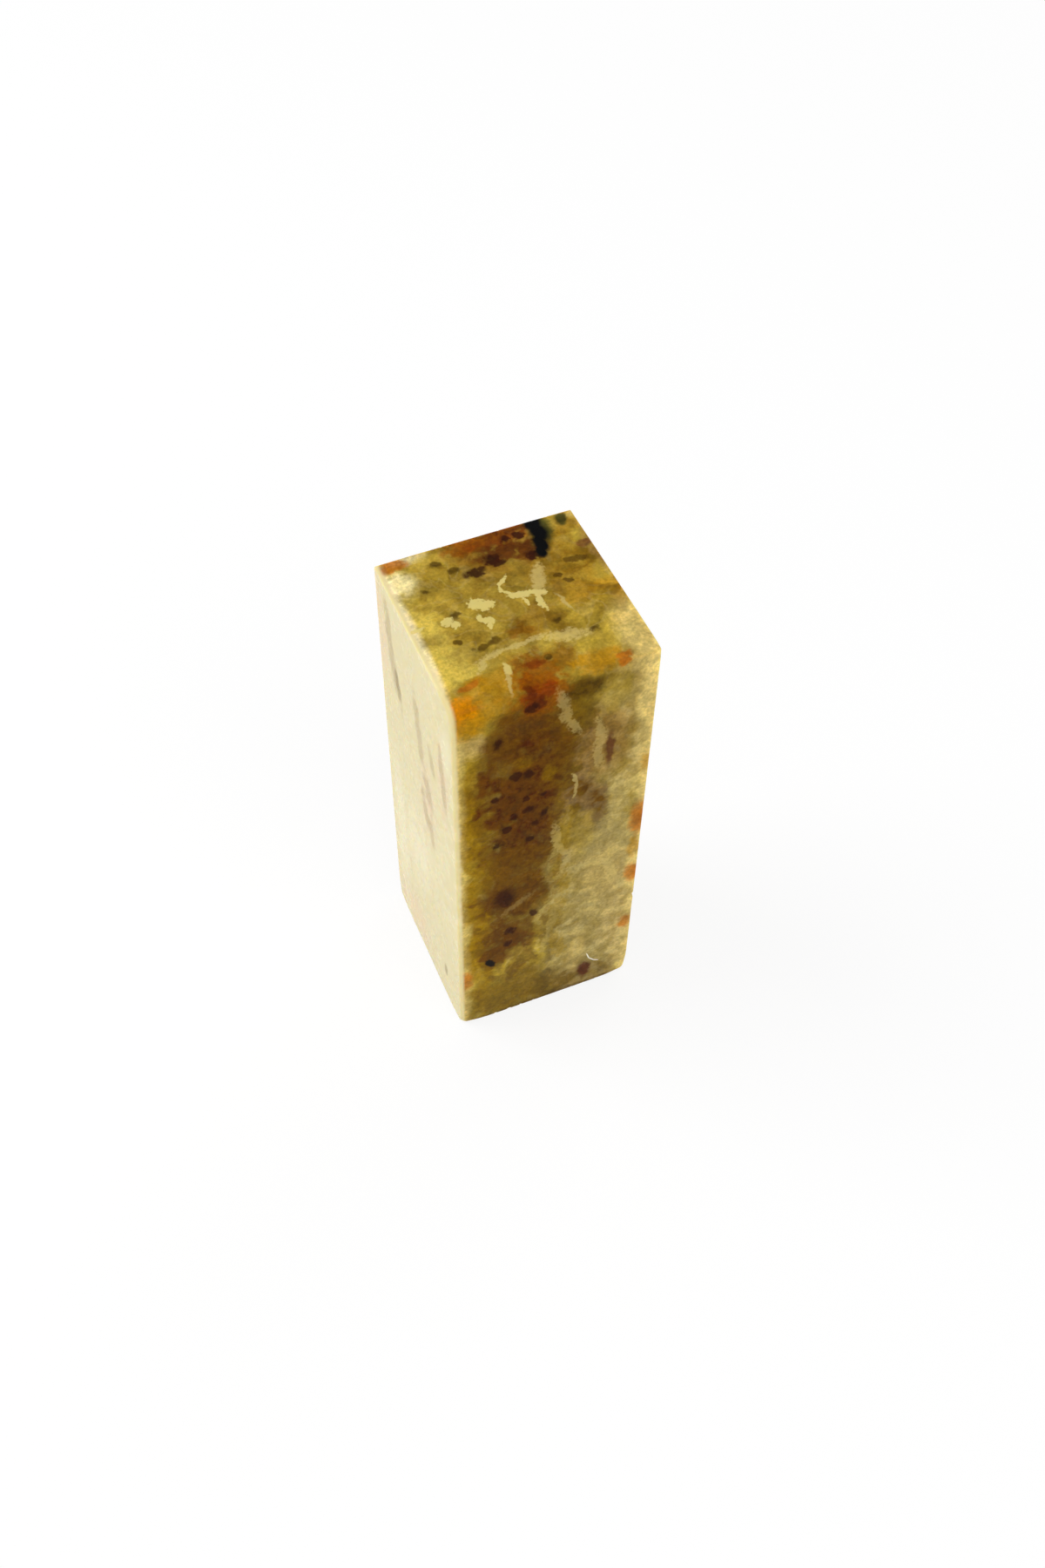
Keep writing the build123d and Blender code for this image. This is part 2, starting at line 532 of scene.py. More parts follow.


# %% The minerals, by what they look like, and a few tones of painted light. Iron gives the yellows and the rusts, manganese the near-blacks
tones = {
    "olive": "#96791c", "khaki": "#a88e2c", "straw": "#c2a43c", "butter": "#dcc256", "cream": "#ecdda4",
    "ivory": "#efe2b6", "pale khaki": "#b09b56", "sand": "#c6ac64", "sage": "#b0973c", "gold": "#947000",
    "honey": "#987004", "amber": "#b07e04", "ochre": "#835400", "moss": "#735606", "moss brown": "#643c00",
    "dark moss": "#4c3400", "olive umber": "#5e3800", "umber": "#521e00", "sepia": "#300a00",
    "ink": "#000102", "rust": "#8e5000", "red rust": "#7c3200", "dark rust": "#501a00", "orange": "#c88000",
    "brick": "#b06810", "bottle green": "#24300a", "rose": "#96743a", "plum": "#5c2c14",
    "painted glow": "#dfc678", "bone": "#f8f2e0", "fleck": "#d9c87a", "pale seam": "#cbb670",
    "left cream and painted light": "#dccf9c", "left pale and painted light": "#e8deb6", "left streak": "#a0875a", "left spot": "#806c38",
    "left rose": "#e2c2a0", "cinnabar": "#a62a18",
}

# %% Places in the stone in millimetres, and noises of real sizes
MIX_A, MIX_B, MIX_RESULT = 6, 7, 2
noise_roughness = 0.55

stone_material.use_nodes = True
tree = stone_material.node_tree
tree.nodes.clear()
coordinates = add_node(tree, "ShaderNodeTexCoord")
place = add_node(tree, "ShaderNodeVectorMath", {
    0: coordinates.outputs["Object"], "Scale": 1 / MM}, operation="SCALE").outputs[0]

# Each row: its name, its size in millimetres, its detail and its distortion
noises = {}
for name, size, detail, distortion in [
    ("clouds", 7.0, 3.0, 0.6),
    ("drift", 4.0, 2.0, 0.0),
    ("swirls", 3.6, 1.5, 1.2),
    ("patches", 2.0, 2.0, 0.3),
    ("tearing", 1.2, 2.0, 0.0),
    ("mottle", 0.8, 3.0, 0.2),
    ("grain", 0.3, 2.0, 0.0),
]:
    noises[name] = add_node(tree, "ShaderNodeTexNoise", {
        "Vector": place, "Scale": 1 / size, "Detail": detail, "Roughness": noise_roughness,
        "Distortion": distortion}).outputs


def push(source, amount, at):
    """The place at, moved by up to about a third of that many millimetres by a colour noise."""
    middle = add_node(tree, "ShaderNodeVectorMath", {0: source, 1: (0.5, 0.5, 0.5)}, operation="SUBTRACT")
    return add_node(tree, "ShaderNodeVectorMath", {
        0: middle.outputs[0], 1: (amount, amount, amount), 2: at}, operation="MULTIPLY_ADD").outputs[0]


torn_place = push(noises["tearing"]["Color"], amount=1.0, at=place)
drifted_place = push(noises["drift"]["Color"], amount=9.0, at=torn_place)


# %% Where a blob lies: its face, its place on it, its half sizes and its turn
shallowest, deepest, depth_share = 0.6, 2.0, 0.8
vein_overlap = 0.62
vein_least_depth = 0.5


def patch(face, *rows, deep=None):
    """Blobs given as (u, v, half u, half v, turn) on a face: u to the right and v up, seen from outside."""
    made = []
    for u, v, half_u, half_v, *rest in rows:
        turn = math.radians(rest[0]) if rest else 0.0
        depth = deep or min(deepest, max(shallowest, depth_share * min(half_u, half_v)))
        if face == "top":
            made.append(((u, v, stone_height + top_slope * (u + v)), (half_u, half_v, depth), (0, 0, turn)))
        elif face == "front":
            made.append(((u, -half_side, v), (half_u, depth, half_v), (0, -turn, 0)))
        elif face == "back":
            made.append(((-u, half_side, v), (half_u, depth, half_v), (0, turn, 0)))
        elif face == "left":
            made.append(((-half_side, -u, v), (depth, half_u, half_v), (-turn, 0, 0)))
        elif face == "right":
            made.append(((half_side, u, v), (depth, half_u, half_v), (turn, 0, 0)))
    return made


def vein(face, half_width, *points):
    """Blobs in a row along a line of points (u, v) on a face, each a little longer than its stretch."""
    rows = []
    for (u, v), (next_u, next_v) in zip(points, points[1:]):
        run = math.hypot(next_u - u, next_v - v)
        turn = math.degrees(math.atan2(next_v - v, next_u - u))
        rows.append(((u + next_u) / 2, (v + next_v) / 2, run * vein_overlap + half_width, half_width, turn))
    return patch(face, *rows, deep=max(vein_least_depth, 2 * half_width))


# %% Grow one mineral over what is there. The noise fades out with the blob, so nothing shows outside it
outline = 0.3
tears = {
    name: add_node(tree, "ShaderNodeMath", {0: noises[name]["Fac"], 1: 0.5}, operation="SUBTRACT").outputs[0]
    for name in ("patches", "mottle", "grain")
}


def grow(under, tone, blobs, breakup, cover, soft, torn_by, at):
    """Mixes a mineral's tone over the colour under it, inside blobs whose outlines a noise breaks up."""
    field = None
    for centre, radii, turn in blobs:
        wide = tuple(radius / (1 - outline) for radius in radii)
        inside = add_node(tree, "ShaderNodeMapping", {
            "Vector": at, "Location": centre, "Rotation": turn, "Scale": wide}, vector_type="TEXTURE")
        ball = add_node(tree, "ShaderNodeTexGradient", {
            "Vector": inside.outputs[0]}, gradient_type="SPHERICAL")
        field = ball.outputs["Fac"] if field is None else add_node(
            tree, "ShaderNodeMath", {0: field, 1: ball.outputs["Fac"]}, operation="MAXIMUM").outputs[0]
    strength = add_node(tree, "ShaderNodeMapRange", {"Value": field, "From Max": outline, "To Max": breakup})
    broken = add_node(tree, "ShaderNodeMath", {
        0: tears[torn_by], 1: strength.outputs[0], 2: field}, operation="MULTIPLY_ADD")
    amount = add_node(tree, "ShaderNodeMapRange", {
        "Value": broken.outputs[0], "From Min": outline - soft, "From Max": outline + soft, "To Max": cover},
        interpolation_type="SMOOTHSTEP")
    return add_node(tree, "ShaderNodeMix", {
        "Factor": amount.outputs[0], MIX_A: under, MIX_B: linear(tones[tone])},
        data_type="RGBA").outputs[MIX_RESULT]


def grow_all(under, rows, torn_by="mottle", at=torn_place):
    """Grows a list of minerals one after another, each over the last.

    A row is the tone, its blobs, how strongly the noise breaks them up, how well the mineral covers and,
    if it isn't as soft as can be, how soft its outline is.
    """
    for tone, blobs, breakup, cover, *rest in rows:
        soft = rest[0] if rest else outline
        under = grow(under, tone, blobs, breakup, cover, soft, torn_by, at)
    return under


# %% The clouded ground: olive, khaki and straw
ground = add_node(tree, "ShaderNodeValToRGB", {"Fac": noises["clouds"]["Fac"]})
steps = ground.color_ramp.elements
steps[0].position, steps[0].color = 0.33, linear(tones["olive"])
steps[1].position, steps[1].color = 0.70, linear(tones["straw"])
steps.new(0.5).color = linear(tones["khaki"])
colour = ground.outputs["Color"]

# %% Pale beds with swirls in them: where a slow noise crosses its middle value it draws long thin lines
swirl_half_width, swirl_cover = 0.05, 0.25
pale_beds = [
    ("pale khaki", patch("front", (5.6, 19, 5.6, 18), (4.5, 8, 5, 8), deep=4), 0.5, 0.95),
    ("sand", patch("front", (8.3, 42, 2.2, 9), (8.6, 10, 2.2, 12), deep=3), 0.4, 0.85),
]
colour = grow_all(colour, pale_beds, "patches", drifted_place)
swirl_middle = add_node(tree, "ShaderNodeMath", {0: noises["swirls"]["Fac"], 1: 0.5}, operation="SUBTRACT")
swirl_away = add_node(tree, "ShaderNodeMath", {0: swirl_middle.outputs[0]}, operation="ABSOLUTE")
swirl_line = add_node(tree, "ShaderNodeMapRange", {
    "Value": swirl_away.outputs[0], "From Max": swirl_half_width, "To Min": swirl_cover, "To Max": 0.0},
    interpolation_type="SMOOTHSTEP")
colour = add_node(tree, "ShaderNodeMix", {
    "Factor": swirl_line.outputs[0], MIX_A: colour, MIX_B: linear(tones["pale seam"])},
    data_type="RGBA").outputs[MIX_RESULT]

# %% Broad darker beds, whose borders drift and blur over a millimetre or two
beds = [
    ("moss", patch("front", (2.8, 42.5, 5, 7), (2.6, 32, 2.6, 8), deep=3), 0.7, 0.9),
    ("moss", patch("front", (-2.6, 22, 2, 3.2), (-1, 14.8, 1.6, 3), deep=2), 1.8, 0.8),
    ("moss brown", patch("front", (-3.2, 44.3, 4.8, 4.6), (3.4, 34, 2, 3.6), deep=3), 0.8, 0.85),
    ("gold", patch("front", (-8.2, 33, 1.7, 9), (-8.2, 16, 1.8, 12), deep=2.5), 0.6, 0.9),
    ("olive umber", patch(
        "front", (-2.9, 36, 4.2, 9), (-2.9, 27.5, 4.4, 4.4), (-4.2, 21.5, 3.4, 4.6), (-4.6, 14.2, 2.6, 4.2),
        (0.8, 39.5, 2.2, 3.4), deep=3), 2.6, 0.85),
    ("umber", patch(
        "front", (-3, 34.5, 3.6, 6), (-4.8, 36, 2, 5), (-1.6, 40.5, 1.6, 2), deep=3.5), 1.2, 0.9),
    ("moss", patch("front", (-3.5, 3.6, 7, 4.6), (2, 1.5, 8, 1.7), deep=3), 0.5, 0.85),
    ("dark moss", patch("front", (0.2, 5.5, 1.2, 6), (1.4, 12, 0.9, 3), deep=2), 1, 0.5),
    ("butter", patch("top", (-9, -0.5, 1.9, 8.5), (-7.4, -4.5, 1.4, 1.8), deep=2), 0.8, 0.85),
    ("honey", patch("top", (6.2, 3.2, 2.8, 4.6), (8.6, 7, 1.5, 2.4), deep=2.5), 0.5, 0.75),
    ("ochre", patch("top", (0.9, 7.5, 4.4, 2.7), deep=3), 0.8, 0.8),
    ("ochre", patch("top", (0.6, -2.1, 3, 1.8), deep=2), 0.6, 0.7),
    ("sage", patch("top", (0.6, -5, 6, 1.2), deep=1.5), 0.5, 0.75),
    ("amber", patch("top", (8.4, -2, 1.7, 3), (-5.6, -8.8, 3.4, 1.9), deep=2), 0.6, 0.75),
    ("moss brown", patch("back", (-1, 43, 6, 8), (3, 22, 4, 9), deep=3.5), 0.6, 0.75),
    ("moss", patch("right", (4, 36, 5, 9), (-2, 12, 4, 6), deep=3.5), 0.6, 0.7),
]
colour = grow_all(colour, beds, "patches", drifted_place)

# %% Marbling: a strong noise turns a bed into clouds, and the same noise taken negative fills the gaps
marbling = [
    ("cream", patch("front", (5.6, 20, 4.2, 22), deep=2), 4, 0.12),
    ("dark moss", patch("front", (4.4, 24, 5.5, 26), deep=2), -5, 0.14),
    ("umber", patch("front", (-3.4, 34, 4.2, 10), (-4, 16, 3.4, 8), deep=2), -7, 0.4),
    ("moss brown", patch("top", (1, 2, 9, 7), deep=2), -6, 0.2),
    ("straw", patch("top", (-1, 0, 9, 9), deep=2), 6, 0.25),
    ("moss", patch("back", (0, 24, 9, 26), deep=2) + patch("right", (0, 24, 9, 26), deep=2), -7, 0.5),
]
colour = grow_all(colour, marbling, "patches")

# %% Patches inside the faces
face_patches = [
    ("dark moss", patch("front", (2.7, 47.8, 2.3, 1.2)), 0.5, 0.85),
    ("rose", patch("front", (5, 39.5, 2.4, 4.5), deep=2), 0.7, 0.6),
    ("sage", patch("front", (3.2, 27.5, 1.4, 3.2), (5.8, 46, 1.8, 2.2)), 0.6, 0.5),
    ("sand", patch("front", (5.6, 20, 2.2, 3.6), (3.4, 6.8, 1.2, 2.4), (-8.3, 44.6, 1.4, 1.4)), 0.7, 0.6),
    ("umber", patch("front", (-5, 20.7, 1.7, 2.2)), 0.7, 0.7),
    ("olive umber", patch("front", (-6.2, 11.6, 1.4, 1.8), (-4.3, 13.4, 1.8, 1.6)), 2, 0.8),
    ("gold", patch("front", (-3, 40.5, 0.9, 0.8), (-0.6, 38, 0.8, 1), (-6.4, 26, 1, 2)), 0.8, 0.5),
    ("cream", patch("top", (-8.9, 6.6, 1.9, 1.5), (-6.8, 9.4, 1.8, 0.6), deep=1.2), 0.6, 0.85),
    ("straw", patch("top", (-5.4, 8.6, 1.7, 1), (7.1, 8.9, 0.7, 1)), 0.6, 0.7),
    ("rust", patch("top", (-1.6, 8.9, 1.8, 0.9), (-1.4, -8.2, 2.2, 2.4), deep=2), 1.6, 0.8),
    ("red rust", patch(
        "top", (1.5, 8.9, 3.3, 0.9), (-2.4, -9.4, 0.8, 1.4), (-1.2, -7.2, 0.9, 0.5)), 1.6, 0.8),
    ("dark rust", patch("top", (3, 9.6, 2.4, 0.7), (1.6, 6.9, 2.6, 1.2), (3.9, 6.3, 1.3, 1.4)), 1.6, 0.9),
    ("ochre", patch("top", (1.6, -7.4, 1.2, 1.6), (-0.9, -3, 1.4, 0.6)), 1.2, 0.75),
    ("amber", patch("top", (4.2, -8.9, 2.4, 1.2), (-6.6, -7.2, 1.2, 0.5)), 1.2, 0.75),
    ("rust", patch("front", (-1.6, 48.6, 2.4, 2.4), deep=2), 1.6, 0.85),
    ("red rust", patch("front", (-2.3, 48.2, 1.1, 1.5), (-0.9, 49.2, 0.6, 1.2)), 1.6, 0.85),
    ("dark rust", patch("front", (-2.7, 49.4, 0.5, 1.6, 15), (-1.8, 47.6, 0.7, 0.8)), 1.6, 0.7),
    ("olive", vein("front", 0.8, (1.4, 31), (0.4, 25), (1.4, 19), (0.4, 13), (1.6, 8)), 2, 0.6),
    ("pale khaki", vein("front", 0.5, (1.2, 29), (-0.4, 23), (1, 17), (-0.2, 11)), 2.4, 0.5),
    ("umber", patch("front", (-2.8, 42, 3.6, 5), (-3.2, 24, 3.6, 9), deep=3), 4, 0.3),
    ("olive umber", patch("front", (-3.4, 26.5, 3, 3.2), (-4.6, 20.5, 2, 3.5), deep=3), 2.4, 0.6),
    ("moss", patch("front", (-3.4, 35, 4.2, 10), (-3, 22, 4, 6), deep=3), 4, 0.25),
    ("moss", patch("front", (5, 18, 5, 16), (4, 38, 5, 10), deep=3), 4, 0.18),
    ("moss brown", patch("top", (1, 4, 8, 5), (-4, -3, 4, 4), deep=2), 4, 0.25, 0.2),
    ("rust", patch("back", (-1, 48.6, 4.5, 2.2), (2, 41, 1.2, 3.4, 15), (-6, 20, 0.9, 2.6, -10)), 0.9, 0.8),
    ("umber", patch("back", (3.5, 30, 3, 7), deep=3), 0.7, 0.8),
    ("sand", patch("back", (-7, 32, 2.5, 8), deep=2), 0.6, 0.7),
    ("brick", patch("right", (1, 8, 0.9, 1.8, 20), (5, 33, 0.8, 2.4, -12)), 0.9, 0.75, 0.28),
]
colour = grow_all(colour, face_patches)

# %% Painted glow on the uprights: a pale band stands in for light that passes through the corner of the block
glow_start, glow_full, glow_cover = 8.5, 10.1, 0.85
glow_wander = 2.4
wandering = push(noises["drift"]["Color"], glow_wander, place)
parts = add_node(tree, "ShaderNodeSeparateXYZ", {0: wandering}).outputs
to_right = add_node(tree, "ShaderNodeMath", {0: parts["X"]}, operation="ABSOLUTE")
to_back = add_node(tree, "ShaderNodeMath", {0: parts["Y"]}, operation="ABSOLUTE")
to_corner = add_node(tree, "ShaderNodeMath", {
    0: to_right.outputs[0], 1: to_back.outputs[0]}, operation="MINIMUM")
# The painted glow grows from nothing 8.5 mm from the middle to full at the faces
rim = add_node(tree, "ShaderNodeMapRange", {
    "Value": to_corner.outputs[0], "From Min": glow_start, "From Max": glow_full, "To Max": glow_cover},
    interpolation_type="SMOOTHSTEP")
colour = add_node(tree, "ShaderNodeMix", {
    "Factor": rim.outputs[0], MIX_A: colour, MIX_B: linear(tones["painted glow"])},
    data_type="RGBA").outputs[MIX_RESULT]

# %% What lies on the edges: pale skirts, partly paler stone and partly painted glow, then orange and brick where iron came in, and a painted shade at the front's foot
pale_skirts_and_painted_glow = [
    # Paler stone along the top's left edge, and painted glow where light comes through the edges
    ("ivory", patch("top", (-10, 0.5, 0.9, 10), deep=0.9), 0.3, 0.85),
    ("painted glow", patch("top", (9.6, -7.4, 2.4, 4.2), deep=2.6), 0.2, 0.75),
    ("painted glow", patch("front", (9.9, 44, 1.6, 7), deep=1.8), 0.2, 0.7),
]
edge_patches_and_foot_shade = [
    ("rose", patch("top", (9.9, 4.5, 0.6, 3.6), deep=0.8), 0.5, 0.6),
    ("amber", patch("front", (-8.6, 47.8, 2, 2), deep=1.4), 0.6, 0.9),
    ("orange", patch("top", (-8.8, -9.4, 1.5, 1), deep=1.6), 1.4, 0.85),
    ("brick", patch(
        "top", (-8.4, 9.1, 1.5, 0.75, 4), (-7.4, -7.5, 1.2, 0.45, 10), (6.6, -9.3, 0.7, 0.5),
        (6.3, -10, 0.6, 0.5)), 0.7, 0.9, 0.2),
    ("brick", patch(
        "front", (-9.5, 8.3, 0.9, 1.5), (9.4, 27.2, 0.9, 2.4), (9.4, 18.3, 0.9, 1.5),
        (9.2, 9.7, 0.8, 1.2)), 0.7, 0.85, 0.28),
    ("amber", patch("front", (9.6, 35.4, 0.7, 1.3), (9.2, 22.5, 0.7, 1.5)), 0.7, 0.6),
    ("brick", patch("right", (-9.2, 27, 1.1, 2), (-9.3, 18.3, 0.9, 1.3)), 0.8, 0.8, 0.28),
    # A painted shade: a dark strip along the foot of the front, where it stands on the table
    ("dark moss", patch("front", (0, 0.1, 11, 0.5)), 0.6, 0.5),
]
colour = grow_all(colour, pale_skirts_and_painted_glow, "patches", place)
colour = grow_all(colour, edge_patches_and_foot_shade)

# %% Olive specks and dark spots
dark_spots = [
    ("dark moss", patch(
        "top", (7.3, 3.5, 0.7, 0.5), (8.3, 3.3, 0.5, 0.4), (5.9, 1.2, 0.4, 0.4), (-5.3, 1, 0.6, 0.5),
        (-6.3, -2.3, 0.4, 0.4), (-3.3, -3.3, 0.6, 0.5), (-4.7, -3.7, 0.9, 0.4), (2.9, -3.1, 0.5, 0.3),
        (0.2, -6.9, 0.4, 0.3), (-4.7, 7.8, 0.6, 0.35), (-3.5, 6.4, 0.5, 0.4), (5.6, -5.4, 0.5, 0.3),
        (5.2, 2.1, 0.4, 0.3), (-6.8, 4.9, 0.4, 0.3)), 1.6, 0.8, 0.25),
    ("sepia", patch(
        "top", (2.5, 8.6, 0.5, 0.45), (3.8, 8.6, 0.6, 0.5), (0.3, 6.5, 0.8, 0.8), (-1.6, 5.4, 1.1, 0.65),
        (4.3, 5.5, 0.9, 0.7), (0.9, 5.6, 0.7, 0.4)), 1.6, 0.9, 0.25),
    ("sepia", patch(
        "front", (-5.7, 43.9, 0.5, 0.7), (-3.9, 38.9, 0.6, 0.5), (-2.6, 38.6, 0.6, 0.6),
        (-5.8, 36.5, 0.5, 0.4), (-2.8, 35.3, 0.4, 0.4), (-1, 35.3, 0.4, 0.4), (-4.1, 33.2, 0.4, 0.5),
        (-2.6, 33.6, 0.5, 0.5), (-0.9, 32.6, 0.4, 0.6), (-4.9, 31.7, 0.6, 0.4), (-1.8, 31.4, 0.4, 0.4),
        (-5.7, 29.7, 0.7, 0.6), (-2.4, 29.3, 0.5, 0.6), (-2.6, 47.3, 0.6, 0.5)), 2, 0.85),
    ("sepia", patch(
        "front", (-4.9, 20.9, 1.1, 1.5), (-4.3, 15, 0.6, 0.6), (-1.7, 16.9, 0.5, 0.5),
        (-4.6, 12.9, 0.5, 0.5)), 1.2, 0.85, 0.28),
    ("dark rust", patch("front", (4.6, 3, 0.8, 1.4)), 0.5, 0.9, 0.28),
    ("plum", patch("front", (5.5, 39, 0.45, 2.3)) + patch("top", (9.2, 5.1, 0.8, 0.6)), 0.7, 0.75, 0.25),
    ("olive", patch("front", (-8.5, 27.7, 0.8, 0.9), (1.2, 27.8, 0.9, 2.2)), 0.6, 0.7),
    ("ink", patch("front", (-6.5, 10.3, 0.35, 0.75, 30)), 0.3, 0.95, 0.15),
    ("bottle green", patch("top", (8.5, 9, 0.6, 0.85, -20), (6.2, 8.6, 1.1, 2)), 0.4, 0.85, 0.25),
    ("ink", vein("back", 0.6, (-5.9, 50.4), (-5.6, 47.6), (-6.3, 45.2)), 0.6, 0.95, 0.2),
    ("sepia", patch(
        "right", (3, 38, 0.8, 1.2), (-3, 15, 0.9, 1.2), (0, 24, 0.4, 0.5),
        (2, 25, 0.4, 0.4)), 0.7, 0.75, 0.28),
    ("sepia", patch(
        "back", (4, 30, 0.8, 1), (2, 27, 0.4, 0.5), (-3, 12, 1, 1.3), (0, 34, 0.4, 0.4)), 0.7, 0.75, 0.28),
]
blot = [
    ("ink", patch(
        "top", (5.75, 9.4, 0.85, 1.4), (5.85, 8.2, 0.85, 1.5), (5.45, 6.7, 0.7, 1.4),
        (5.05, 5.6, 0.55, 0.8)), 0.4, 1, 0.25),
]
colour = grow_all(colour, dark_spots)
colour = grow_all(colour, blot, at=place)

# %% Mottling: each crumb of clay is a little darker or paler than the next
low_noise, high_noise = 0.35, 0.65
for name, darkest, palest in [("patches", 0.88, 1.11), ("mottle", 0.82, 1.15), ("grain", 0.85, 1.13)]:
    value = add_node(tree, "ShaderNodeMapRange", {
        "Value": noises[name]["Fac"], "From Min": low_noise, "From Max": high_noise,
        "To Min": darkest, "To Max": palest})
    colour = add_node(tree, "ShaderNodeHueSaturation", {
        "Value": value.outputs[0], "Color": colour}).outputs[0]

# %% The left side is nearly all cream, with faint upright streaks: partly paler stone, partly painted light and painted reflection from the lamp on the left and the white room at a grazing angle
left_cream_and_painted_light = [
    ("left cream and painted light", patch("left", (0, 25, 40, 60), deep=0.5), 0.1, 0.97, 0.25),
    ("left rose", patch(
        "left", (-9, 43, 1.8, 6), (-4, 4, 5, 3), (2.5, 30, 2, 6), (7, 37, 1.4, 5)), 0.8, 0.5),
    # The brightest patches are partly painted light
    ("left pale and painted light", patch("left", (8.3, 43, 1.2, 3), (-1.5, 18, 3, 7), (-7, 16, 2, 10), deep=1), 0.6, 0.6),
    ("left pale and painted light", patch("left", (0, 25, 9, 27), deep=1), 5, 0.35),
    ("left streak", patch("left", (-2, 36, 7, 14), (2, 8, 7, 8), deep=1), 4, 0.1),
    ("left streak", vein("left", 0.9, (-6.8, 46.5), (-6.1, 42), (-5.2, 38.5)), 1.6, 0.5),
    ("left streak", vein("left", 0.8, (0.4, 41.5), (1.2, 35.8))
     + vein("left", 0.6, (6.8, 40.5), (7.5, 35)) + vein("left", 0.9, (2.2, 33), (3.2, 29.6))
     + vein("left", 0.7, (1.4, 29.4), (2.1, 26)) + vein("left", 0.6, (3, 27), (3.4, 24))
     + vein("left", 0.6, (3.9, 38.2), (4.7, 36.2)), 1.6, 0.45),
    ("left spot", vein("left", 0.6, (-4.9, 40), (-4.4, 37.2))
     + patch("left", (5.7, 5.2, 0.5, 0.9)), 1.6, 0.6),
]
colour = grow_all(colour, left_cream_and_painted_light, "patches", place)

# %% Pale veins and flecks come last, because they cut through everything
pale_minerals = [
    ("pale seam", vein("top", 0.3, (-5.7, -6.2), (-5, -5), (-3, -4.6), (1, -4.4))
     + patch("top", (3, -5.2, 1.9, 0.7, -12)), 1.6, 0.6),
    ("pale seam", vein("front", 0.5, (0.2, 47.8), (1, 45.6), (0.9, 44.6), (2, 42.8))
     + vein("front", 0.45, (4.2, 43), (4.7, 41), (4.2, 39.4), (4.5, 37.5)), 1.6, 0.34),
    ("pale seam", vein("front", 0.4, (0.3, 29.5), (0.5, 27), (1, 25.8), (2, 24.8), (1.2, 22.5))
     + vein("front", 0.6, (3, 22.3), (6, 22), (7.5, 18)), 1.6, 0.32),
    ("sand", vein("front", 0.4, (-5, 18.3), (-2.5, 20)), 1.6, 0.18),
    ("pale seam", vein("front", 0.2, (2, 36.5), (2.3, 35), (2.2, 33.8)), 1.2, 0.5),
    ("fleck", patch(
        "top", (-3.1, 1.6, 0.75, 0.75), (-2.3, 1.1, 0.85, 0.65), (-6.2, 0.5, 0.55, 0.6, -30),
        (-5.7, -0.1, 0.5, 0.45), (-3.3, -0.2, 0.3, 0.6, 20), (-2.8, -0.8, 0.45, 0.55),
        (-2.9, -1.5, 0.2, 0.45, -10), (-9.1, 0.6, 0.8, 0.22)), 1.2, 0.85, 0.15),
    ("fleck", vein("top", 0.2, (0.6, 3.8), (-0.3, 2.9), (-0.35, 2.1), (0.4, 1.3))
     + vein("top", 0.42, (0.4, 1.3), (1.4, 1.1), (2.6, 0.9), (3.1, 0.8))
     + vein("top", 0.16, (1.1, 0.6), (1.2, -0.2))
     + vein("top", 0.3, (2.4, 0.6), (2.5, -1.2)), 1.2, 0.85, 0.15),
    ("pale seam", vein("top", 0.6, (2.9, 1.2), (3.4, 2.6), (3.9, 3.5)), 1.4, 0.6),
    ("fleck", vein("top", 0.3, (-3.5, -6.4), (-3.5, -7.2)), 0.6, 0.7, 0.2),
    ("pale seam", vein("top", 0.2, (-3.6, -7), (-4.2, -9.6))
     + vein("top", 0.16, (4.1, -0.4), (4.6, -2.2)), 0.5, 0.55, 0.28),
]
scratch = [
    ("bone", vein("front", 0.07, (4.9, 5.7), (5.2, 4.8), (5.8, 4.1), (6.3, 3.8)), 0.1, 0.9, 0.2),
]
colour = grow_all(colour, pale_minerals, "grain")
colour = grow_all(colour, scratch, at=place)

# %% A little red seal paste has stayed on the carved face and in its grooves
paste_height, paste_reach = 0.95, 9.55
thinnest_paste, thickest_paste = 0.08, 0.75
heights = add_node(tree, "ShaderNodeSeparateXYZ", {0: place}).outputs
low = add_node(tree, "ShaderNodeMath", {0: heights["Z"], 1: paste_height}, operation="LESS_THAN")
x_away = add_node(tree, "ShaderNodeMath", {0: heights["X"]}, operation="ABSOLUTE")
y_away = add_node(tree, "ShaderNodeMath", {0: heights["Y"]}, operation="ABSOLUTE")
farthest = add_node(tree, "ShaderNodeMath", {0: x_away.outputs[0], 1: y_away.outputs[0]}, operation="MAXIMUM")
inside = add_node(tree, "ShaderNodeMath", {0: farthest.outputs[0], 1: paste_reach}, operation="LESS_THAN")
left_over = add_node(tree, "ShaderNodeMapRange", {
    "Value": noises["patches"]["Fac"], "From Min": 0.35, "From Max": 0.7,
    "To Min": thinnest_paste, "To Max": thickest_paste})
under_face = add_node(tree, "ShaderNodeMath", {0: low.outputs[0], 1: inside.outputs[0]}, operation="MULTIPLY")
paste = add_node(tree, "ShaderNodeMath", {
    0: under_face.outputs[0], 1: left_over.outputs[0]}, operation="MULTIPLY")
colour = add_node(tree, "ShaderNodeMix", {
    "Factor": paste.outputs[0], MIX_A: colour, MIX_B: linear(tones["cinnabar"])},
    data_type="RGBA").outputs[MIX_RESULT]

# %% The skin: a low wax shine that handling has made uneven, over fine marks left by rubbing
smoothest, roughest = 0.2, 0.31
mark_depth, mark_strength = 0.008, 0.35
marks_per_mm = (5.0, 5.0, 0.6)
grain_share = 0.6

# How far red, green and blue light spread inside the stone, and the unit of that in millimetres
light_reach = (1.4, 1.0, 0.5)
light_reach_unit = 0.6

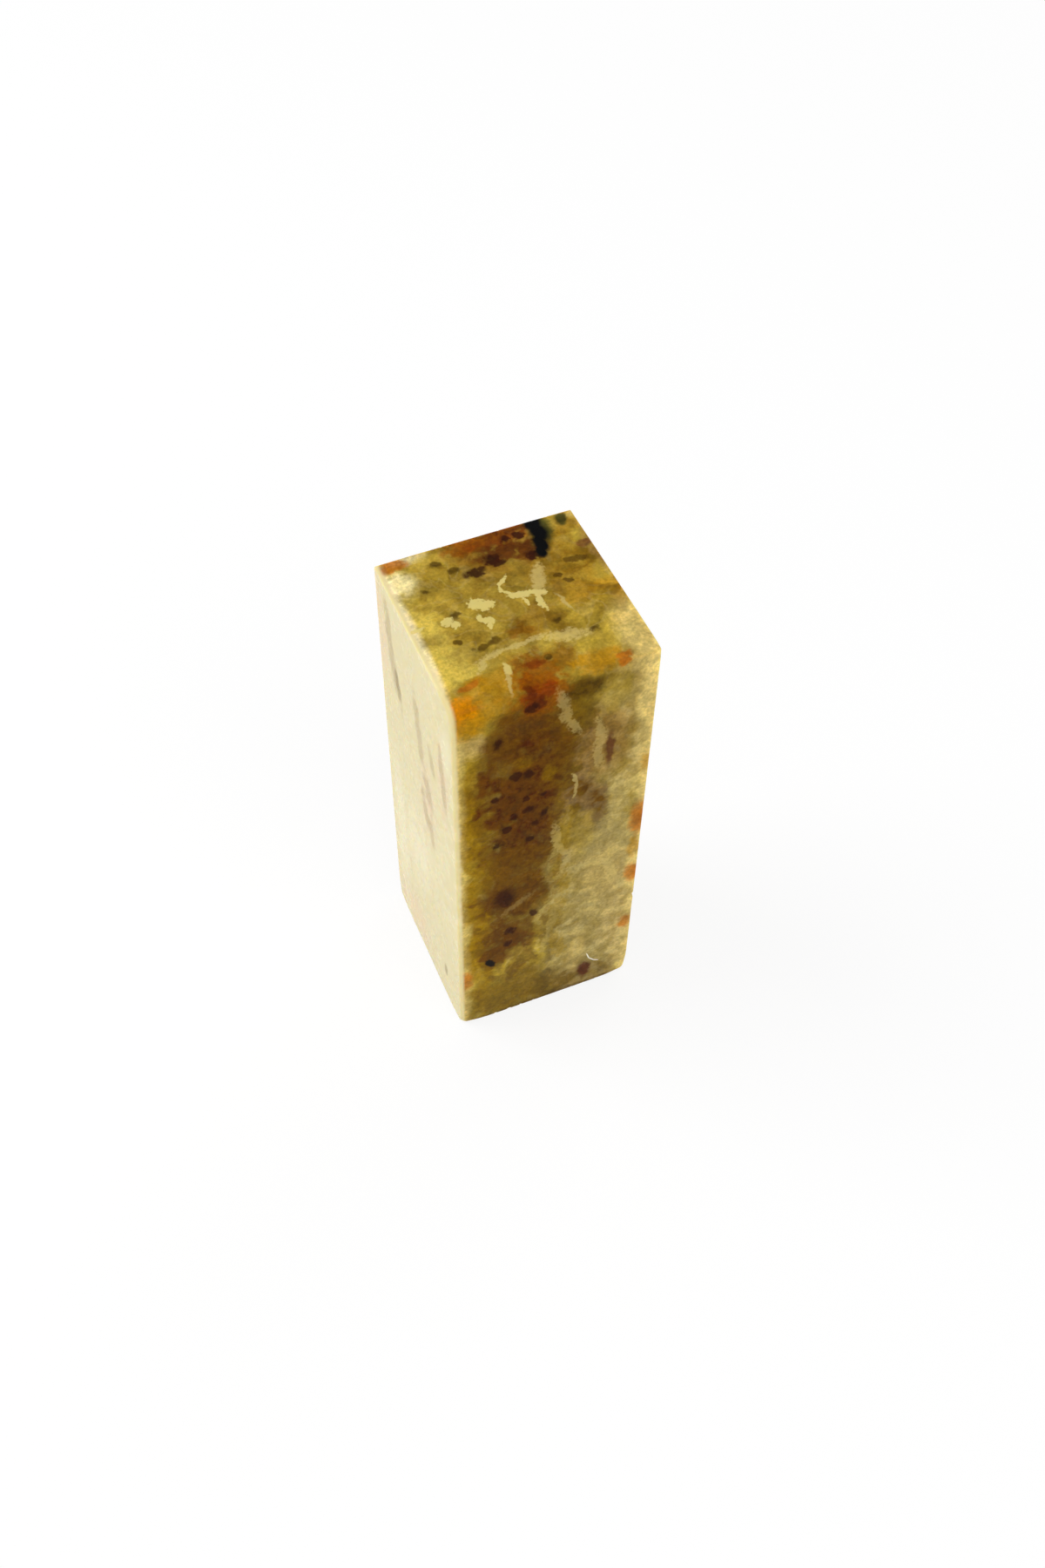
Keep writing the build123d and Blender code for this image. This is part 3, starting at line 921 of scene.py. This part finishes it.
roughness = add_node(tree, "ShaderNodeMapRange", {
    "Value": noises["patches"]["Fac"], "From Min": 0.3, "From Max": 0.7,
    "To Min": smoothest, "To Max": roughest})
stretched = add_node(tree, "ShaderNodeVectorMath", {0: place, 1: marks_per_mm}, operation="MULTIPLY")
rub_marks = add_node(tree, "ShaderNodeTexNoise", {
    "Vector": stretched.outputs[0], "Scale": 1.0, "Detail": 2.0, "Roughness": 0.5})
relief = add_node(tree, "ShaderNodeMath", {
    0: noises["grain"]["Fac"], 1: grain_share, 2: rub_marks.outputs["Fac"]}, operation="MULTIPLY_ADD")
bump = add_node(tree, "ShaderNodeBump", {
    "Strength": mark_strength, "Distance": mark_depth * MM, "Height": relief.outputs[0]})
skin = add_node(tree, "ShaderNodeBsdfPrincipled", {
    "Base Color": colour, "Roughness": roughness.outputs[0], "IOR": 1.4, "Specular IOR Level": 0.05,
    "Subsurface Weight": 1.0, "Subsurface Radius": light_reach, "Subsurface Scale": light_reach_unit * MM,
    "Normal": bump.outputs[0]})
add_node(tree, "ShaderNodeOutputMaterial", {"Surface": skin.outputs[0]})
print("soapstone:", len(tree.nodes), "nodes")

# %% The finished stone stands for the CAD node
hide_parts("seal_stone")
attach(stone, "root")

# %% [markdown]
# ## The table, the light and the camera
# The seal stands on a white table in a white room. The table's own colour can't be pure white, so rays from
# the camera and reflections see it lifted towards white, while it still takes the seal's soft shadow. Three
# broad lamps stand for a window behind on the left, another on the right, and the bright room in front.
# Together with the room they light each side at a level at which a colour shows about as it is written.

# %% White table
floor_half = 1.5
floor_height = -0.02
lift_to_white = 0.85


def build_floor(shape):
    """One flat quad, just under the stone."""
    reach = floor_half / MM
    corners = [(x_way * reach, y_way * reach, floor_height) for x_way, y_way in ways_round]
    shape.faces.new([shape.verts.new(corner) for corner in corners])


def white_for_eyes(tree):
    """1 for rays from the camera, from reflections and through glass, and 0 for those that light things."""
    ray = add_node(tree, "ShaderNodeLightPath").outputs
    seen = add_node(tree, "ShaderNodeMath", {
        0: ray["Is Camera Ray"], 1: ray["Is Glossy Ray"]}, operation="MAXIMUM")
    return add_node(tree, "ShaderNodeMath", {
        0: seen.outputs[0], 1: ray["Is Transmission Ray"]}, operation="MAXIMUM").outputs[0]


floor = mesh_from("white_table", build_floor)
floor_material = bpy.data.materials.new("matt_white_table")
floor_material.use_nodes = True
tree = floor_material.node_tree
tree.nodes.clear()
matt_white = add_node(tree, "ShaderNodeBsdfPrincipled", {
    "Base Color": linear("#fafafa"), "Roughness": 0.9, "Specular IOR Level": 0.1})
lift = add_node(tree, "ShaderNodeMath", {0: white_for_eyes(tree), 1: lift_to_white}, operation="MULTIPLY")
glow = add_node(tree, "ShaderNodeEmission", {"Color": (1, 1, 1, 1), "Strength": 1.0})
lifted = add_node(tree, "ShaderNodeMixShader", {
    0: lift.outputs[0], 1: matt_white.outputs[0], 2: glow.outputs[0]})
add_node(tree, "ShaderNodeOutputMaterial", {"Surface": lifted.outputs[0]})
floor.data.materials.append(floor_material)

# %% World
room_level = 0.5
world = bpy.data.worlds.new("white_room")
bpy.context.scene.world = world
world.use_nodes = True
tree = world.node_tree
tree.nodes.clear()
level = add_node(tree, "ShaderNodeMapRange", {
    "Value": white_for_eyes(tree), "To Min": room_level, "To Max": 1.0})
air = add_node(tree, "ShaderNodeBackground", {"Color": (1, 1, 1, 1), "Strength": level.outputs[0]})
add_node(tree, "ShaderNodeOutputWorld", {"Surface": air.outputs[0]})


# %% Lamps
def add_soft_lamp(name, place, size, level):
    """A square white lamp that aims at the stone. At level 1 alone it would show a colour as written."""
    data = bpy.data.lights.new(name, "AREA")
    data.shape = "SQUARE"
    data.size = size
    away = Vector(place) - middle_of_stone
    data.energy = level * (math.pi * away.length) ** 2
    lamp = bpy.data.objects.new(name, data)
    lamp.location = place
    lamp.rotation_euler = away.to_track_quat("Z", "Y").to_euler()
    bpy.context.scene.collection.objects.link(lamp)


middle_of_stone = Vector((0, 0, 0.025))
add_soft_lamp("window_left", (-0.45, 0.25, 0.5), size=0.45, level=0.55)
add_soft_lamp("window_right", (0.5, 0.35, 0.45), size=0.4, level=0.12)
add_soft_lamp("room_in_front", (0.1, -0.6, 0.45), size=0.6, level=0.36)

# %% Camera
camera_data = bpy.data.cameras.new("camera")
camera_data.sensor_width = 36
camera_data.lens = 33.07
camera_data.clip_start = 0.01
camera_data.clip_end = 10
camera = bpy.data.objects.new("camera", camera_data)
bpy.context.scene.collection.objects.link(camera)
camera_place = Vector((-38.2, -89.7, 137.1)) * MM
camera_aim = Vector((1.2, 0.1, 25.0)) * MM
camera_roll = math.radians(1.17)
look = (camera_aim - camera_place).to_track_quat("-Z", "Y")
camera.rotation_mode = "QUATERNION"
camera.rotation_quaternion = look @ Quaternion((0, 0, 1), camera_roll)
camera.location = camera_place
bpy.context.scene.camera = camera
bpy.context.scene.view_settings.view_transform = "Standard"
